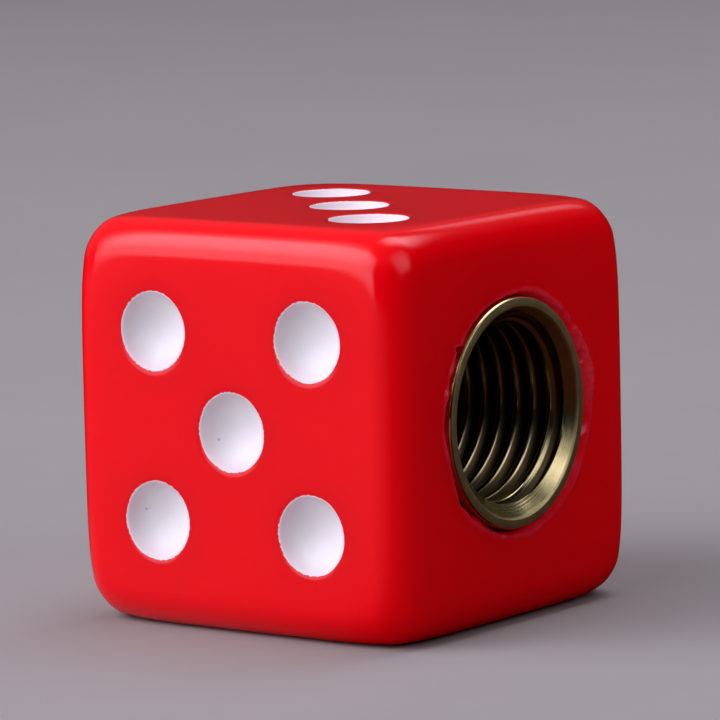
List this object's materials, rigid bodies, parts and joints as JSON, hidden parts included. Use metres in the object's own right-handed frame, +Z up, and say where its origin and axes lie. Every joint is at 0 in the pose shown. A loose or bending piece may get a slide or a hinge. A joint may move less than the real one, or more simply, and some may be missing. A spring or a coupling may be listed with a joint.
{
  "type": "die-shaped valve cap",
  "caption": "Rounded cube shaped like a gaming die with painted bowl pips and a threaded brass insert, used as a screw-on valve cap.",
  "frame": {"origin": "middle of the bottom face, the one with four pips, where the cube rests", "axes": "+Z up through the face with three pips, -Y out of the face with five pips, +X out of the threaded insert's mouth"},
  "size_m": [0.0161, 0.016, 0.016],
  "materials": {
    "body": "polished opaque red",
    "insert": "turned, slightly tarnished",
    "bond": "cured clear adhesive",
    "seal": "moulded black",
    "pip_paint": "satin white paint"
  },
  "bodies": {
    "root": {"die_body": "body", "threaded_insert": "insert", "bond_sleeve": "bond", "seal_washer": "seal", "three_pip_1": "pip_paint", "three_pip_2": "pip_paint", "three_pip_3": "pip_paint", "four_pip_1": "pip_paint", "four_pip_2": "pip_paint", "four_pip_3": "pip_paint", "four_pip_4": "pip_paint", "five_pip_1": "pip_paint", "five_pip_2": "pip_paint", "five_pip_3": "pip_paint", "five_pip_4": "pip_paint", "five_pip_5": "pip_paint", "two_pip_1": "pip_paint", "two_pip_2": "pip_paint", "six_pip_1": "pip_paint", "six_pip_2": "pip_paint", "six_pip_3": "pip_paint", "six_pip_4": "pip_paint", "six_pip_5": "pip_paint", "six_pip_6": "pip_paint"}
  },
  "joints": []
}
